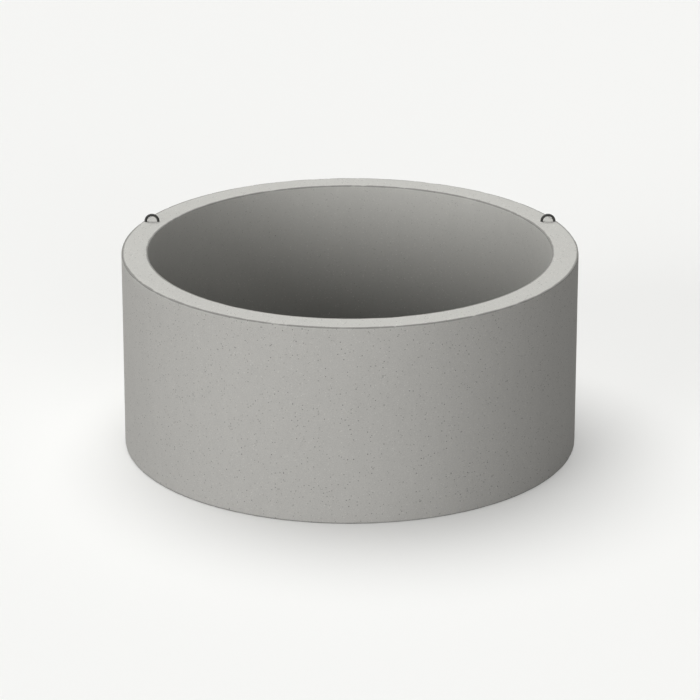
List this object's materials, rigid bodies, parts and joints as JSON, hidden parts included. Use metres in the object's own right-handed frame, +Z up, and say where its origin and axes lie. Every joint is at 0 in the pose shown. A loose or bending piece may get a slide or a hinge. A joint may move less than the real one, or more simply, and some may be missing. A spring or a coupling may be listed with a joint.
{
  "type": "concrete manhole ring",
  "caption": "Round precast concrete wall ring with an open bore, flat ends and round-bar lifting loops cast into its top face.",
  "frame": {"origin": "centre of the ring's lower face, on the axis of the bore", "axes": "+Z up along the ring's axis; the two lifting loops stand behind the XZ plane (at +Y), one at -X and one at +X, with their arches parallel to XZ"},
  "size_m": [1.36, 1.3596, 0.625],
  "materials": {
    "concrete": "matte",
    "bar_steel": "matte"
  },
  "bodies": {
    "root": {"concrete_ring": "concrete", "lifting_loop_left": "bar_steel", "lifting_loop_right": "bar_steel"}
  },
  "joints": []
}
